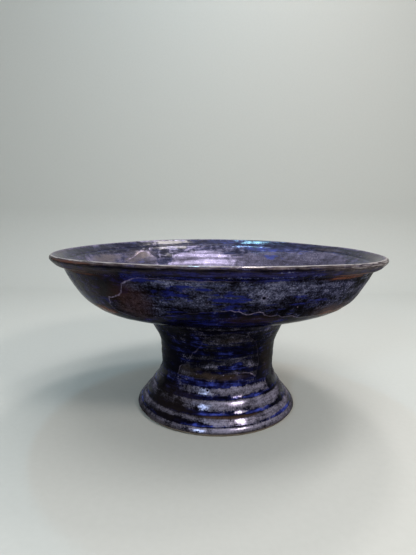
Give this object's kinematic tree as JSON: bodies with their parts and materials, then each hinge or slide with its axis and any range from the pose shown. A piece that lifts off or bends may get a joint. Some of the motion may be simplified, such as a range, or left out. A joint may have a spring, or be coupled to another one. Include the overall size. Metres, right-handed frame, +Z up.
{
  "type": "footed compote bowl",
  "caption": "Shallow round stoneware bowl with a flared lip, luted to a hollow pedestal with a waisted stem and a wide ringed foot, glazed inside and out.",
  "frame": {"origin": "centre of the standing ring, on the surface that the bowl stands on", "axes": "+Z up the axis of the bowl and pedestal; +X to the right and +Y to the back as the picture sees it"},
  "size_m": [0.24, 0.24, 0.1192],
  "materials": {
    "stoneware": "bare fired stoneware, matt",
    "slip": "fired slip, matt",
    "glaze_inside": "gloss cobalt glaze under a mottled lilac-grey lustre",
    "glaze_outside": "gloss cobalt glaze with streaked lilac-grey lustre",
    "glaze_pedestal": "gloss cobalt glaze with a gunmetal lustre"
  },
  "bodies": {
    "root": {"bowl": "stoneware", "pedestal": "stoneware", "joint_slip": "slip", "seam_coil": "stoneware", "inner_coil": "stoneware", "inner_glaze": "glaze_inside", "outer_glaze": "glaze_outside", "pedestal_glaze": "glaze_pedestal"}
  },
  "joints": []
}
